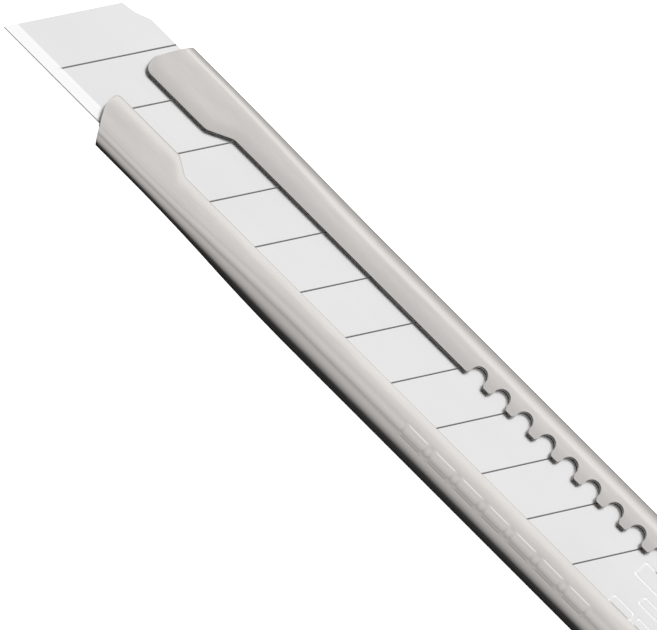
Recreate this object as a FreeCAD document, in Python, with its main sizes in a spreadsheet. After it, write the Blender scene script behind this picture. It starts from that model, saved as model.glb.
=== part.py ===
import FreeCAD, Part
import math
import os

import Sketcher

# Slim snap-off knife. X runs along the knife towards the blade tip, Z up is the slot side of the handle,
# the cutting edge is on +Y. The origin is under the middle of the knife, on the handle's flat back.

Vector = FreeCAD.Vector

dimensions = {
    # stations along X
    "tip_x": 72.275,
    "nose_x": 62.375,
    "tail_x": -71.625,
    # handle channel, folded from one sheet
    "handle_wide": 11.05,
    "handle_deep": 4.8,
    "sheet": 0.5,
    "back_round": 1.6,
    "lip_round": 1.3,
    "rise": 1.7,
    "rise_run": 19.0,
    "rise_from_nose": 5.0,
    # slot between the lips
    "slot_left": -2.34,
    "slot_right": 2.72,
    "mouth_left": -1.26,
    "mouth_right": 1.76,
    "lug_long": 6.9,
    "step_left": 2.1,
    "step_right": 1.5,
    "lug_round_left": 0.8,
    "lug_round_right": 0.5,
    "nose_slant": 0.62,
    "nose_rake": 0.2,
    "nose_flat_left": 2.5,
    "nose_flat_right": 3.1,
    # lock notches
    "notch_first": 35.55,
    "notch_pitch": 2.5,
    "notch_count": 26,
    "notch_radius": 0.75,
    "notch_centre": 0.45,
    "notch_mouth": 1.76,
    "notch_flank": 0.729,
    # blade
    "blade_low": 3.7,
    "blade_thick": 0.38,
    "spine_y": -4.7,
    "edge_y": 4.3,
    "blade_long": 80.0,
    "segment_count": 12,
    "first_line": 4.91,
    "pitch": 5.0,
    "lean": 0.6126,
    "bevel_wide": 0.96,
    "bevel_deep": 0.165,
    "score": 0.07,
    "tip_clip": 7.6,
    "tip_step": 6.3,
    "tip_step_deep": 0.53,
    "tip_clip_deep": 0.7,
    "tang_corner": 0.6,
    "stud_back": 75.5,
    "tang_hole": 1.35,
    "stud_head": 1.9,
    "stud_head_high": 0.4,
    "stud_shank": 1.0,
    "stud_post": 1.25,
    "stud_post_high": 0.5,
    "stud_crown": 1.1,
    "stud_crown_high": 0.15,
    # carrier
    "carrier_front": 66.0,
    "carrier_step": 78.6,
    "carrier_rear": 100.0,
    "carrier_drop": 2.45,
    "carrier_slope": 2.0,
    "carrier_half": 4.4,
    "carrier_corner": 1.2,
    "flange_top": 2.3,
    "flange_front": 84.5,
    "flange_rear": 98.0,
    "middle_y": 0.25,
    # lock plate, spring and slider
    "plate_low": 3.65,
    "plate_top": 4.15,
    "plate_front": 81.2,
    "plate_rear": 97.0,
    "plate_half": 4.2,
    "plate_corner": 0.8,
    "pawl_radius": 0.6,
    "pawl_back": 90.45,
    "neck_front": 82.6,
    "neck_rear": 89.4,
    "neck_half": 1.75,
    "neck_corner": 0.5,
    "pad_front": 71.0,
    "pad_rear": 94.0,
    "pad_half": 4.7,
    "pad_low": 6.0,
    "pad_top": 8.1,
    "pad_ceiling": 7.1,
    "pad_corner": 2.6,
    "pad_shoulder": 0.8,
    "pad_wall": 0.8,
    "rib_pitch": 2.3,
    "rib_count": 8,
    "rib_groove": 0.55,
    "rib_lift": 0.1,
    "rivet_radius": 0.5,
    "rivet_gap": 0.02,
    "rivet_head_wide": 1.7,
    "rivet_head_top": 1.2,
    "rivet_head_high": 0.3,
    "neck_rivet_front": 84.3,
    "neck_rivet_rear": 87.7,
    "spring_thick": 0.25,
    "spring_wide": 4.4,
    "spring_front": 83.0,
    "spring_back": 95.5,
    "spring_foot": 99.2,
    "spring_bow": 10.35,
    "spring_bow_outer": 10.9,
    "spring_end_lean": 0.15,
    "spring_rivet_back": 97.5,
    "spring_rivet_apart": 2.2,
    # clip and blade snapper, bent from one strip
    "clip_sheet": 0.6,
    "clip_gap": 0.05,
    "clip_half": 3.2,
    "clip_high": 6.05,
    "clip_tip": 102.0,
    "tongue_half": 4.0,
    "end_half": 5.3,
    "end_overlap": 0.6,
    "clip_lip": 1.9,
    "clip_ramp": 5.0,
    "clip_touch": 0.2,
    "clip_lift": 0.35,
    "clip_bend": 1.6,
    "end_bend": 0.5,
    "ramp_bend": 5.0,
    "tongue_tip": 116.6,
    "tongue_lip": 2.4,
    "tongue_lip_drop": 0.7,
    "tongue_ramp": 7.6,
    "tongue_bend": 3.0,
    "snap_low": 3.0,
    "snap_gap": 0.85,
    "snap_wide": 9.4,
}

document = FreeCAD.newDocument("snap_off_knife")
sheet = document.addObject("Spreadsheet::Sheet", "Dims")
for row, (alias, value) in enumerate(dimensions.items(), start=1):
    sheet.set(f"A{row}", alias)
    sheet.set(f"B{row}", str(value))
    sheet.setAlias(f"B{row}", alias)
document.recompute()


def named(formula):
    """The formula with each alias written as a cell of the sheet."""
    for alias in sorted(dimensions, key=len, reverse=True):
        formula = formula.replace(f"{{{alias}}}", f"Dims.{alias}")
    return formula


def value(formula):
    """The number that a formula gives now."""
    result = sheet.evalExpression(named(formula))
    return float(getattr(result, "Value", result))


def behindTip(distance):
    return f"({{tip_x}} - ({distance}))"


def behindNose(distance):
    return f"({{nose_x}} - ({distance}))"


def originPlane(body, role):
    return next(part for part in body.Origin.OriginFeatures if part.Role == role)


def newBody(name):
    body = document.addObject("PartDesign::Body", name)
    body.Label = name
    return body


def newSketch(body, name, role, height=None):
    """A sketch on one of the body's own planes, raised off it by height."""
    sketch = body.newObject("Sketcher::SketchObject", name)
    sketch.AttachmentSupport = [(originPlane(body, role), "")]
    sketch.MapMode = "FlatFace"
    if height is not None:
        sketch.setExpression("AttachmentOffset.Base.z", named(height))
    return sketch


def pin(sketch, geometry, point, formulas):
    """Fixes one point of the sketch at the two formulas."""
    for kind, formula in zip(("DistanceX", "DistanceY"), formulas):
        index = sketch.addConstraint(
            Sketcher.Constraint(kind, -1, 1, geometry, point, value(formula))
        )
        sketch.setExpression(f"Constraints[{index}]", named(formula))


def arcThrough(start, end, radius):
    """The shorter arc between two points: a positive radius turns left, a negative one right."""
    chord = end - start
    middle = (start + end) / 2
    left = Vector(-chord.y, chord.x, 0).normalize() * math.copysign(1, radius)
    reach = math.sqrt(max(radius**2 - (chord.Length / 2) ** 2, 0))
    crown = middle + left * (reach - abs(radius))
    return Part.Arc(start, crown, end)


def drawOutline(sketch, corners):
    """Closes an outline. A corner is (x, y), or (x, y, radius) where an arc leads to the next corner."""
    points = [Vector(value(c[0]), value(c[1]), 0) for c in corners]
    ends = []
    for number, corner in enumerate(corners):
        start, end = points[number], points[(number + 1) % len(points)]
        if len(corner) == 2:
            index = sketch.addGeometry(Part.LineSegment(start, end), False)
            ends.append((index, 1, 2))
            continue
        arc = arcThrough(start, end, value(corner[2]))
        index = sketch.addGeometry(arc, False)
        turned = value(corner[2]) < 0
        ends.append((index, 2, 1) if turned else (index, 1, 2))
        radius = sketch.addConstraint(
            Sketcher.Constraint("Radius", index, abs(value(corner[2])))
        )
        sketch.setExpression(f"Constraints[{radius}]", named(f"abs({corner[2]})"))
    for number, corner in enumerate(corners):
        index, first, _ = ends[number]
        before, _, last = ends[number - 1]
        sketch.addConstraint(Sketcher.Constraint("Coincident", before, last, index, first))
        pin(sketch, index, first, corner[:2])


def drawBox(sketch, lowX, highX, lowY, highY):
    drawOutline(sketch, [(lowX, lowY), (highX, lowY), (highX, highY), (lowX, highY)])


def drawCircle(sketch, centreX, centreY, radius):
    centre = Vector(value(centreX), value(centreY), 0)
    index = sketch.addGeometry(Part.Circle(centre, Vector(0, 0, 1), value(radius)), False)
    pin(sketch, index, 3, (centreX, centreY))
    size = sketch.addConstraint(Sketcher.Constraint("Radius", index, value(radius)))
    sketch.setExpression(f"Constraints[{size}]", named(radius))


def addPad(body, sketch, length, symmetric=False):
    pad = body.newObject("PartDesign::Pad", sketch.Name + "_pad")
    pad.Profile = sketch
    pad.setExpression("Length", named(length))
    if symmetric:
        pad.SideType = "Symmetric"
    document.recompute()
    return pad


def addPocket(body, sketch, length, upward=False, symmetric=False):
    """Cuts downwards from the sketch, or upwards, and stops if nothing was removed."""
    before = body.Shape.Volume
    pocket = body.newObject("PartDesign::Pocket", sketch.Name + "_pocket")
    pocket.Profile = sketch
    pocket.setExpression("Length", named(length))
    pocket.Reversed = upward
    if symmetric:
        pocket.SideType = "Symmetric"
    document.recompute()
    if body.Shape.Volume >= before - 1e-6:
        raise RuntimeError(f"{pocket.Name} removes nothing")
    return pocket


def edgesWhere(feature, test):
    """Names of the feature's edges whose middle point passes the test."""
    names = []
    for number, edge in enumerate(feature.Shape.Edges, start=1):
        if test(edge, edge.CenterOfMass):
            names.append(f"Edge{number}")
    return names


def addFillet(body, feature, radius, test):
    fillet = body.newObject("PartDesign::Fillet", feature.Name + "_fillet")
    fillet.Base = (feature, edgesWhere(feature, test))
    fillet.setExpression("Radius", named(radius))
    document.recompute()
    return fillet


def upright(edge):
    return abs(edge.BoundBox.ZLength - edge.Length) < 1e-6


def addPattern(body, feature, axisRole, length, count):
    pattern = body.newObject("PartDesign::LinearPattern", feature.Name + "_row")
    pattern.Originals = [feature]
    pattern.Direction = (originPlane(body, axisRole), [""])
    pattern.Reversed = True
    pattern.setExpression("Length", named(length))
    pattern.setExpression("Occurrences", named(count))
    body.Tip = pattern
    document.recompute()
    return pattern


def combine(kind, name, base, tool):
    result = document.addObject(f"Part::{kind}", name)
    result.Label = name
    result.Base = base
    result.Tool = tool
    document.recompute()
    return result


# Handle channel: the front of the back plane rises in two tangent arcs.

riseRadius = "(({rise_run}^2 + {rise}^2) / (4 * {rise}))"
riseSine = f"({{rise_run}} / 2 / {riseRadius})"
riseCosine = f"(1 - {{rise}} / 2 / {riseRadius})"


def channelForm(name, inset, overrun):
    """The folded section as a solid: outside with no inset, hollow with the sheet as inset."""
    body = newBody(name)
    sketch = newSketch(body, name + "_side", "XZ_Plane")
    riseEnd = behindNose("{rise_from_nose}")
    riseStart = behindNose("{rise_from_nose} + {rise_run}")
    riseMiddle = behindNose("{rise_from_nose} + {rise_run} / 2")
    drawOutline(
        sketch,
        [
            (f"{{tail_x}} - {overrun}", inset),
            (riseStart, inset, f"{riseRadius} - {inset}"),
            (
                f"{riseMiddle} - {inset} * {riseSine}",
                f"{{rise}} / 2 + {inset} * {riseCosine}",
                f"-({riseRadius} + {inset})",
            ),
            (riseEnd, f"{{rise}} + {inset}"),
            (f"{{nose_x}} + {overrun}", f"{{rise}} + {inset}"),
            (f"{{nose_x}} + {overrun}", f"{{handle_deep}} - {inset}"),
            (f"{{tail_x}} - {overrun}", f"{{handle_deep}} - {inset}"),
        ],
    )
    pad = addPad(body, sketch, f"{{handle_wide}} - 2 * {inset}", symmetric=True)
    top = value(f"{{handle_deep}} - {inset}")
    side = value(f"{{handle_wide}} / 2 - {inset}")
    lowest = value(f"{{rise}} + {inset}")
    back = addFillet(
        body,
        pad,
        f"{{back_round}} - {inset}",
        lambda edge, middle: abs(abs(middle.y) - side) < 1e-3 and middle.z < lowest + 0.01,
    )
    addFillet(
        body,
        back,
        f"{{lip_round}} - {inset}",
        lambda edge, middle: abs(abs(middle.y) - side) < 1e-3 and abs(middle.z - top) < 1e-3,
    )
    return body


def channelPlan():
    """Outline from above with both front corners slanted back, raked from the lips down to the back."""
    body = newBody("handle_plan")
    sketch = newSketch(body, "handle_plan_outline", "XY_Plane")
    half = "{handle_wide} / 2"
    drawOutline(
        sketch,
        [
            ("{tail_x}", f"-{half}"),
            (behindNose(f"({half} - {{nose_flat_left}}) * {{nose_slant}}"), f"-{half}"),
            ("{nose_x}", "-{nose_flat_left}"),
            ("{nose_x}", "{nose_flat_right}"),
            (behindNose(f"({half} - {{nose_flat_right}}) * {{nose_slant}}"), half),
            ("{tail_x}", half),
        ],
    )
    addPad(body, sketch, "{handle_deep}")
    rake = newSketch(body, "handle_rake", "XZ_Plane")
    drawOutline(
        rake,
        [
            (behindNose("{nose_rake} * {handle_deep}"), "0"),
            ("{nose_x} + 1", "0"),
            ("{nose_x} + 1", "{handle_deep}"),
            ("{nose_x}", "{handle_deep}"),
        ],
    )
    addPocket(body, rake, "{handle_wide}", symmetric=True)
    return body


def channelSlot():
    """What the slot and its lock notches take out of the folded lips."""
    body = newBody("handle_slot")
    height = "{handle_deep} - 2 * {sheet}"
    sketch = newSketch(body, "slot_outline", "XY_Plane", height)
    stepLeft = behindNose("{lug_long} + {step_left}")
    stepRight = behindNose("{lug_long} + {step_right}")
    drawOutline(
        sketch,
        [
            ("{tail_x} - 1", "{slot_left}"),
            (stepLeft, "{slot_left}"),
            (behindNose("{lug_long}"), "{mouth_left}"),
            (behindNose("{lug_round_left}"), "{mouth_left}", "-{lug_round_left}"),
            ("{nose_x}", "{mouth_left} - {lug_round_left}"),
            ("{nose_x} + 1", "{mouth_left} - {lug_round_left}"),
            ("{nose_x} + 1", "{mouth_right} + {lug_round_right}"),
            ("{nose_x}", "{mouth_right} + {lug_round_right}", "-{lug_round_right}"),
            (behindNose("{lug_round_right}"), "{mouth_right}"),
            (behindNose("{lug_long}"), "{mouth_right}"),
            (stepRight, "{slot_right}"),
            ("{tail_x} - 1", "{slot_right}"),
        ],
    )
    pad = addPad(body, sketch, "3 * {sheet}")
    steps = [value(stepLeft), value(stepRight), value(behindNose("{lug_long}"))]
    addFillet(
        body,
        pad,
        "{lug_round_left}",
        lambda edge, middle: upright(edge) and min(abs(middle.x - x) for x in steps) < 0.01,
    )
    notch = newSketch(body, "notch_outline", "XY_Plane", height)
    centre = behindNose("{notch_first}")
    tangent = "({slot_left} - {notch_centre} + sqrt({notch_radius}^2 - {notch_flank}^2))"
    drawOutline(
        notch,
        [
            (f"{centre} - {{notch_mouth}} / 2", "{slot_left}"),
            (f"{centre} - {{notch_flank}}", tangent, "{notch_radius}"),
            (centre, "{slot_left} - {notch_centre} - {notch_radius}", "{notch_radius}"),
            (f"{centre} + {{notch_flank}}", tangent),
            (f"{centre} + {{notch_mouth}} / 2", "{slot_left}"),
            (f"{centre} + {{notch_mouth}} / 2", "{slot_left} + 1"),
            (f"{centre} - {{notch_mouth}} / 2", "{slot_left} + 1"),
        ],
    )
    notchPad = addPad(body, notch, "3 * {sheet}")
    addPattern(body, notchPad, "X_Axis", "{notch_pitch} * ({notch_count} - 1)", "{notch_count}")
    return body


def makeHandleChannel():
    outside = channelForm("handle_outside", "0", "0")
    hollow = channelForm("handle_hollow", "{sheet}", "2")
    folded = combine("Cut", "handle_folded", outside, hollow)
    nosed = combine("Common", "handle_nosed", folded, channelPlan())
    return combine("Cut", "handle_channel", nosed, channelSlot())


# Blade: one hardened strip that comes apart at leaning score lines.


def leaningX(atEdge, y):
    """X of a line that meets the cutting edge at atEdge behind the tip and leans back to the spine."""
    return behindTip(f"{atEdge} + {{lean}} * ({{edge_y}} - ({y}))")


def shapeBladeBody(body, sketch, pad):
    """Grinds the cutting edge from both sides and scores the leaning edges of the upper face."""
    edgeY = value("{edge_y}")
    top = value("{blade_low} + {blade_thick}")
    bevel = body.newObject("PartDesign::Chamfer", sketch.Name + "_bevel")
    bevel.Base = (
        pad,
        edgesWhere(
            pad,
            lambda edge, middle: abs(middle.y - edgeY) < 1e-3 and not upright(edge),
        ),
    )
    bevel.ChamferType = "Two distances"
    bevel.setExpression("Size", named("{bevel_wide}"))
    bevel.setExpression("Size2", named("{bevel_deep}"))
    document.recompute()
    flatEdge = value("{edge_y} - {bevel_wide}")
    crest = [v.Point.y for v in body.Shape.Vertexes if abs(v.Point.z - top) < 1e-3]
    if abs(max(crest) - flatEdge) > 1e-3:
        bevel.FlipDirection = True
        document.recompute()

    def isScored(edge, middle):
        box = edge.BoundBox
        leans = abs(box.XLength - value("{lean}") * box.YLength) < 1e-3 and box.YLength > 5
        return leans and abs(middle.z - top) < 1e-3 and not isLeadingEdge(middle)

    def isLeadingEdge(middle):
        return middle.x > value(leaningX("{first_line} / 2", str(middle.y)))

    score = body.newObject("PartDesign::Chamfer", sketch.Name + "_score")
    score.Base = (bevel, edgesWhere(bevel, isScored))
    score.setExpression("Size", named("{score}"))
    document.recompute()


def makeBladeSegment(number):
    """Segment 1 is the clipped tip, the others lie between two score lines."""
    name = f"blade_segment_{number:02d}"
    body = newBody(name)
    sketch = newSketch(body, name + "_plan", "XY_Plane", "{blade_low}")
    rear = f"{{first_line}} + {number - 1} * {{pitch}}"
    corners = [
        (leaningX(rear, "{edge_y}"), "{edge_y}"),
        (leaningX(rear, "{spine_y}"), "{spine_y}"),
    ]
    if number == 1:
        corners += [
            (behindTip("{tip_clip}"), "{spine_y}"),
            (behindTip("{tip_step}"), "{spine_y} + {tip_step_deep}"),
            (leaningX("0", "{spine_y} + {tip_clip_deep}"), "{spine_y} + {tip_clip_deep}"),
            ("{tip_x}", "{edge_y}"),
        ]
    else:
        front = f"{{first_line}} + {number - 2} * {{pitch}}"
        corners += [
            (leaningX(front, "{spine_y}"), "{spine_y}"),
            (leaningX(front, "{edge_y}"), "{edge_y}"),
        ]
    drawOutline(sketch, corners)
    pad = addPad(body, sketch, "{blade_thick}")
    shapeBladeBody(body, sketch, pad)
    return body


def makeBladeTang():
    body = newBody("blade_tang")
    sketch = newSketch(body, "blade_tang_plan", "XY_Plane", "{blade_low}")
    front = "{first_line} + ({segment_count} - 1) * {pitch}"
    end = behindTip("{blade_long}")
    drawOutline(
        sketch,
        [
            (leaningX(front, "{spine_y}"), "{spine_y}"),
            (leaningX(front, "{edge_y}"), "{edge_y}"),
            (f"{end} + {{tang_corner}}", "{edge_y}"),
            (end, "{edge_y} - {tang_corner}"),
            (end, "{spine_y} + {tang_corner}"),
            (f"{end} + {{tang_corner}}", "{spine_y}"),
        ],
    )
    pad = addPad(body, sketch, "{blade_thick}")
    shapeBladeBody(body, sketch, pad)
    hole = newSketch(body, "tang_hole", "XY_Plane", "{blade_low} + {blade_thick}")
    drawCircle(hole, behindTip("{stud_back}"), "({spine_y} + {edge_y}) / 2", "{tang_hole}")
    addPocket(body, hole, "{blade_thick}")
    return body


# Carriage: sheet sledge with the blade stud, the leaf spring and its rivets.


def makeBladeCarrier():
    body = newBody("blade_carrier")
    side = newSketch(body, "carrier_side", "XZ_Plane")
    top = "{blade_low}"
    low = f"({top} - {{carrier_drop}})"
    bend = "({sheet} * tan(atan({carrier_drop} / {carrier_slope}) / 2))"
    drawOutline(
        side,
        [
            (behindTip("{carrier_front}"), top),
            (behindTip("{carrier_step}"), top),
            (behindTip("{carrier_step} + {carrier_slope}"), low),
            (behindTip("{carrier_rear}"), low),
            (behindTip("{carrier_rear}"), f"{low} - {{sheet}}"),
            (behindTip(f"{{carrier_step}} + {{carrier_slope}} - {bend}"), f"{low} - {{sheet}}"),
            (behindTip(f"{{carrier_step}} - {bend}"), f"{top} - {{sheet}}"),
            (behindTip("{carrier_front}"), f"{top} - {{sheet}}"),
        ],
    )
    plate = addPad(body, side, "2 * {carrier_half}", symmetric=True)
    addFillet(body, plate, "{carrier_corner}", lambda edge, middle: upright(edge))
    for sign, name in ((1, "flange_right"), (-1, "flange_left")):
        flange = newSketch(body, name, "XY_Plane", low)
        edges = sorted(
            [f"{sign} * {{carrier_half}}", f"{sign} * ({{carrier_half}} - {{sheet}})"], key=value
        )
        drawBox(flange, behindTip("{flange_rear}"), behindTip("{flange_front}"), *edges)
        addPad(body, flange, f"{{flange_top}} - {low}")
    hole = newSketch(body, "carrier_stud_hole", "XY_Plane", top)
    studY = "({spine_y} + {edge_y}) / 2"
    drawCircle(hole, behindTip("{stud_back}"), studY, "{stud_shank} + {rivet_gap}")
    addPocket(body, hole, "{sheet}")
    rivets = newSketch(body, "carrier_rivet_holes", "XY_Plane", low)
    for x, y in springRivetPlaces():
        drawCircle(rivets, x, y, "{rivet_radius} + {rivet_gap}")
    addPocket(body, rivets, "{sheet}")
    return body


def springRivetPlaces():
    back = behindTip("{spring_rivet_back}")
    return [(back, f"{{middle_y}} {sign} {{spring_rivet_apart}} / 2") for sign in "-+"]


def neckRivetPlaces():
    return [(behindTip(x), "{middle_y}") for x in ("{neck_rivet_front}", "{neck_rivet_rear}")]


def makeBladeStud():
    """Turned stud: a head under the carrier, a shank through it and a post through the tang."""
    body = newBody("blade_stud")
    sketch = newSketch(body, "stud_half", "XZ_Plane")
    top = "{blade_low}"
    low = f"({top} - {{sheet}})"
    post = f"({top} + {{stud_post_high}})"
    drawOutline(
        sketch,
        [
            ("0", f"{low} - {{stud_head_high}}"),
            ("{stud_head}", f"{low} - {{stud_head_high}}"),
            ("{stud_head}", low),
            ("{stud_shank}", low),
            ("{stud_shank}", top),
            ("{stud_post}", top),
            ("{stud_post}", post),
            ("{stud_crown}", f"{post} + {{stud_crown_high}}"),
            ("0", f"{post} + {{stud_crown_high}}"),
        ],
    )
    turned = body.newObject("PartDesign::Revolution", "stud_turned")
    turned.Profile = sketch
    turned.ReferenceAxis = (sketch, ["V_Axis"])
    turned.Angle = 360
    body.setExpression("Placement.Base.x", named(behindTip("{stud_back}")))
    body.setExpression("Placement.Base.y", named("({spine_y} + {edge_y}) / 2"))
    document.recompute()
    return body


def makeLockSpring():
    """Leaf spring: a flat foot riveted to the carrier and a bow under the lock plate."""
    body = newBody("lock_spring")
    sketch = newSketch(body, "spring_side", "XZ_Plane")
    low = "({blade_low} - {carrier_drop})"
    high = f"{low} + {{spring_thick}}"
    drawOutline(
        sketch,
        [
            (behindTip("{spring_foot}"), low),
            (behindTip("{spring_back}"), low, "-{spring_bow}"),
            (behindTip("{spring_front}"), low),
            (behindTip("{spring_front} - {spring_end_lean}"), high, "{spring_bow_outer}"),
            (behindTip("{spring_back} + {spring_end_lean}"), high),
            (behindTip("{spring_foot}"), high),
        ],
    )
    addPad(body, sketch, "{spring_wide}", symmetric=True)
    holes = newSketch(body, "spring_holes", "XY_Plane", high)
    for x, y in springRivetPlaces():
        drawCircle(holes, x, f"{y} - {{middle_y}}", "{rivet_radius} + {rivet_gap}")
    addPocket(body, holes, "{spring_thick}")
    body.setExpression("Placement.Base.y", named("{middle_y}"))
    document.recompute()
    return body


def makeRivetGroup(name, places, low, top, headed):
    """Identical rivets in one node: each a plain shank, with a flat head where it is headed."""
    rivets = []
    for number, (x, y) in enumerate(places):
        shank = document.addObject("Part::Cylinder", f"{name}_shank_{number}")
        shank.setExpression("Radius", named("{rivet_radius}"))
        shank.setExpression("Height", named(f"{top} - {low}"))
        piece = shank
        if headed:
            head = document.addObject("Part::Cone", f"{name}_head_{number}")
            head.setExpression("Radius1", named("{rivet_head_wide} * {rivet_radius}"))
            head.setExpression("Radius2", named("{rivet_head_top} * {rivet_radius}"))
            head.setExpression("Height", named("{rivet_head_high}"))
            head.setExpression("Placement.Base.z", named(f"{top} - {low}"))
            piece = combine("Fuse", f"{name}_{number}", shank, head)
        piece.setExpression("Placement.Base.x", named(x))
        piece.setExpression("Placement.Base.y", named(y))
        piece.setExpression("Placement.Base.z", named(low))
        rivets.append(piece)
    group = document.addObject("Part::Compound", name)
    group.Label = name
    group.Links = rivets
    document.recompute()
    return group


# Slider: lock plate with its pawls, the neck through the slot and the thumb pad.


def makeLockPlate():
    body = newBody("lock_plate")
    sketch = newSketch(body, "plate_plan", "XY_Plane", "{plate_low}")
    drawBox(
        sketch,
        behindTip("{plate_rear}"),
        behindTip("{plate_front}"),
        "-{plate_half}",
        "{plate_half}",
    )
    plate = addPad(body, sketch, "{plate_top} - {plate_low}")
    addFillet(body, plate, "{plate_corner}", lambda edge, middle: upright(edge))
    pawls = newSketch(body, "pawls", "XY_Plane", "{plate_low}")
    for step in range(2):
        drawCircle(
            pawls,
            behindTip(f"{{pawl_back}} + {step} * {{notch_pitch}}"),
            "{slot_left} - {notch_centre}",
            "{pawl_radius}",
        )
    addPad(body, pawls, "{handle_deep} - {plate_low}")
    holes = newSketch(body, "plate_holes", "XY_Plane", "{plate_top}")
    for x, y in neckRivetPlaces():
        drawCircle(holes, x, y, "{rivet_radius} + {rivet_gap}")
    addPocket(body, holes, "{plate_top} - {plate_low}")
    return body


def makeSliderNeck():
    body = newBody("slider_neck")
    sketch = newSketch(body, "neck_plan", "XY_Plane", "{plate_top}")
    drawBox(
        sketch,
        behindTip("{neck_rear}"),
        behindTip("{neck_front}"),
        "{middle_y} - {neck_half}",
        "{middle_y} + {neck_half}",
    )
    block = addPad(body, sketch, "{pad_ceiling} - {plate_top}")
    addFillet(body, block, "{neck_corner}", lambda edge, middle: upright(edge))
    holes = newSketch(body, "neck_holes", "XY_Plane", "{pad_ceiling}")
    for x, y in neckRivetPlaces():
        drawCircle(holes, x, y, "{rivet_radius} + {rivet_gap}")
    addPocket(body, holes, "{pad_ceiling} - {plate_top}")
    return body


def makeThumbSlider():
    """Pressed thumb pad: rounded outline, soft top edge, hollow underside and cross grooves."""
    body = newBody("thumb_slider")
    sketch = newSketch(body, "pad_plan", "XY_Plane", "{pad_low}")
    drawBox(
        sketch, behindTip("{pad_rear}"), behindTip("{pad_front}"), "-{pad_half}", "{pad_half}"
    )
    block = addPad(body, sketch, "{pad_top} - {pad_low}")
    cornered = addFillet(body, block, "{pad_corner}", lambda edge, middle: upright(edge))
    top = value("{pad_top}")
    addFillet(body, cornered, "{pad_shoulder}", lambda edge, middle: abs(middle.z - top) < 1e-3)
    under = newSketch(body, "pad_underside", "XY_Plane", "{pad_low}")
    drawBox(
        under,
        behindTip("{pad_rear} - 2 * {pad_wall}"),
        behindTip("{pad_front} + 2 * {pad_wall}"),
        "{pad_wall} - {pad_half}",
        "{pad_half} - {pad_wall}",
    )
    addPocket(body, under, "{pad_ceiling} - {pad_low}", upward=True)
    groove = newSketch(body, "pad_groove", "XZ_Plane")
    first = "({pad_front} + {pad_rear} - {rib_pitch} * ({rib_count} - 1)) / 2"
    drawCircle(groove, behindTip(first), "{pad_top} + {rib_lift}", "{rib_groove}")
    pocket = addPocket(body, groove, "4 * {pad_half}", symmetric=True)
    addPattern(body, pocket, "X_Axis", "{rib_pitch} * ({rib_count} - 1)", "{rib_count}")
    return body


# Clip and blade snapper: one strip, bent twice at the tail.


def drawBentPath(sketch, corners):
    """Open path of straight runs with a tangent arc of the given radius at each inner corner."""
    points = [Vector(value(x), value(y), 0) for x, y, _ in corners]
    cuts = []
    for number in range(1, len(points) - 1):
        back = (points[number - 1] - points[number]).normalize()
        ahead = (points[number + 1] - points[number]).normalize()
        radius = value(corners[number][2])
        reach = radius / math.tan(back.getAngle(ahead) / 2)
        cuts.append((points[number] + back * reach, points[number] + ahead * reach, radius))
    starts = [points[0]] + [cut[1] for cut in cuts]
    stops = [cut[0] for cut in cuts] + [points[-1]]
    lines = [
        sketch.addGeometry(Part.LineSegment(start, stop), False)
        for start, stop in zip(starts, stops)
    ]
    pin(sketch, lines[0], 1, corners[0][:2])
    pin(sketch, lines[-1], 2, corners[-1][:2])
    for number, (start, stop, radius) in enumerate(cuts):
        before, after = lines[number], lines[number + 1]
        turn = (start - stops[number - 1] if number else start - points[0]).cross(stop - start).z
        arc = sketch.addGeometry(arcThrough(start, stop, math.copysign(radius, turn)), False)
        first, last = (1, 2) if turn > 0 else (2, 1)
        sketch.addConstraint(Sketcher.Constraint("Tangent", before, 2, arc, first))
        sketch.addConstraint(Sketcher.Constraint("Tangent", arc, last, after, 1))
        size = sketch.addConstraint(Sketcher.Constraint("Radius", arc, radius))
        sketch.setExpression(f"Constraints[{size}]", named(corners[number + 1][2]))
        corner = sketch.addGeometry(Part.Point(points[number + 1]), True)
        pin(sketch, corner, 1, corners[number + 1][:2])
        for line in (before, after):
            sketch.addConstraint(Sketcher.Constraint("PointOnObject", corner, 1, line))


def makeClipSnapper():
    """The path is the strip's inner face, from the sprung tongue round the tail to the clip's tip."""
    path = document.addObject("Sketcher::SketchObject", "clip_path")
    path.Placement = FreeCAD.Placement(Vector(0, 0, 0), FreeCAD.Rotation(Vector(1, 0, 0), 90))
    floor = "({sheet} + {clip_gap} + {clip_sheet})"
    under = "({handle_deep} - {sheet} - {clip_gap})"
    tail = "({tail_x} - {clip_gap})"
    drawBentPath(
        path,
        [
            (behindNose("{tongue_tip}"), f"{under} - {{tongue_lip_drop}}", "0"),
            (behindNose("{tongue_tip} + {tongue_lip}"), under, "{clip_bend}"),
            (behindNose("{tongue_tip} + {tongue_ramp}"), floor, "{tongue_bend}"),
            (tail, floor, "{end_bend}"),
            (tail, "{clip_high}", "{end_bend}"),
            (behindNose("{clip_tip} + {clip_ramp}"), "{clip_high}", "{ramp_bend}"),
            (behindNose("{clip_tip} + {clip_lip}"), "{handle_deep} + {clip_touch}", "{clip_bend}"),
            (behindNose("{clip_tip}"), "{clip_high} - {clip_lift}", "0"),
        ],
    )
    document.recompute()
    face = document.addObject("Part::Offset2D", "clip_section")
    face.Source = path
    face.Mode = "Skin"
    face.Fill = True
    face.setExpression("Value", named("{clip_sheet}"))
    document.recompute()
    if face.Shape.BoundBox.ZMax < value("{clip_high} + {clip_sheet}") - 0.01:
        face.setExpression("Value", named("-{clip_sheet}"))
        document.recompute()
    strip = document.addObject("Part::Extrusion", "clip_strip")
    strip.Base = face
    strip.DirMode = "Custom"
    strip.Dir = Vector(0, 1, 0)
    strip.Solid = True
    strip.Symmetric = True
    strip.setExpression("LengthFwd", named("2 * {end_half}"))
    document.recompute()
    return combine("Common", "clip_snapper", strip, clipOutline())


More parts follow.
